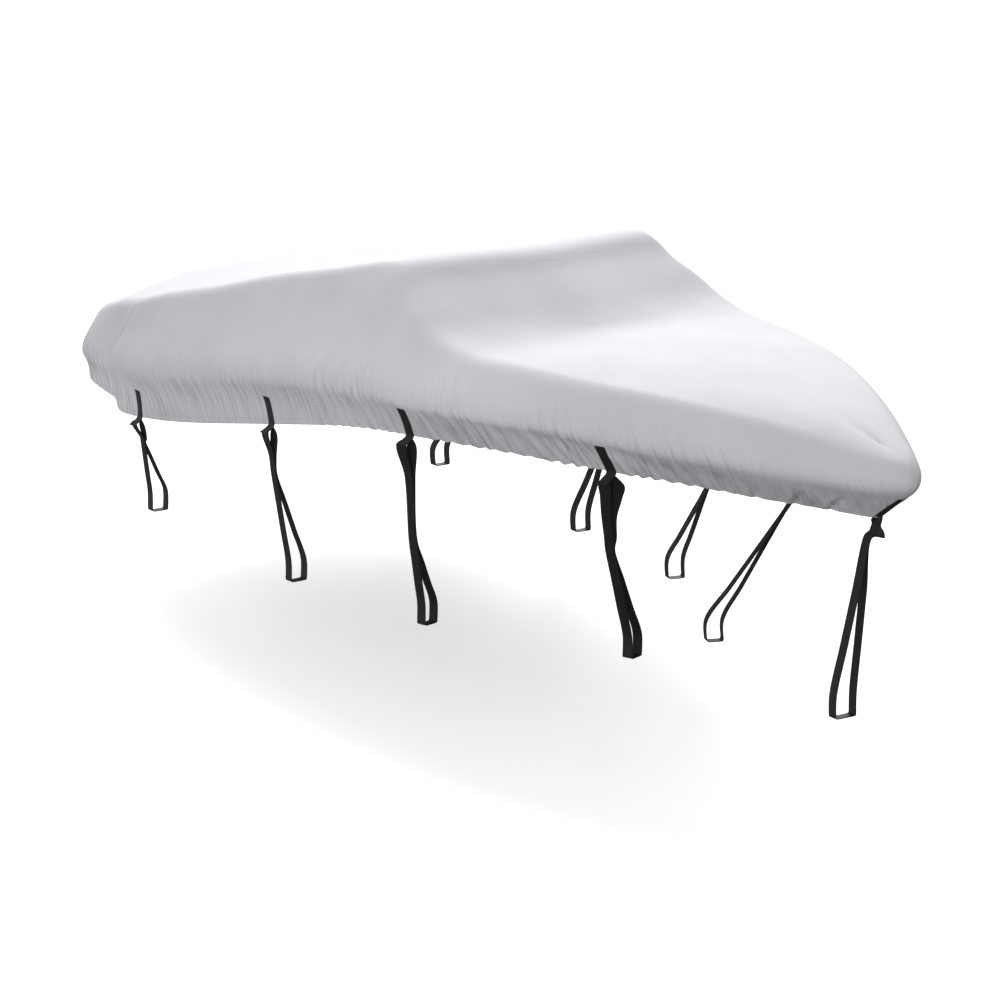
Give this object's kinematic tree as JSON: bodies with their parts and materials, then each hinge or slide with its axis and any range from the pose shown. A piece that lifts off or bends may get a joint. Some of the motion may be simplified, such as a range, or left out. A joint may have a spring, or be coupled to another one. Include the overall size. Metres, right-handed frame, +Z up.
{
  "type": "boat cover",
  "caption": "Fitted cloth cover shaped to an open runabout with a windshield hump, with sewn tabs and long webbing loops that pass under a trailer's rails.",
  "frame": {"origin": "under the highest part of the top, on the centreline, where the boat's windshield holds the cloth up", "axes": "+X to the bow, +Y to port, +Z up"},
  "size_m": [6.1056, 2.2935, 1.758],
  "materials": {
    "silver_cloth": "plain weave, coated, faint sheen",
    "black_webbing": "flat woven webbing, matt"
  },
  "bodies": {
    "root": {"cover_cloth": "silver_cloth", "stern_starboard_tab": "black_webbing", "stern_starboard_loop": "black_webbing", "stern_port_tab": "black_webbing", "stern_port_loop": "black_webbing", "quarter_starboard_tab": "black_webbing", "quarter_starboard_loop": "black_webbing", "quarter_port_tab": "black_webbing", "quarter_port_loop": "black_webbing", "helm_starboard_tab": "black_webbing", "helm_starboard_loop": "black_webbing", "helm_port_tab": "black_webbing", "helm_port_loop": "black_webbing", "deck_starboard_tab": "black_webbing", "deck_starboard_loop": "black_webbing", "deck_port_tab": "black_webbing", "deck_port_loop": "black_webbing", "bow_tab": "black_webbing", "bow_loop": "black_webbing"}
  },
  "joints": []
}
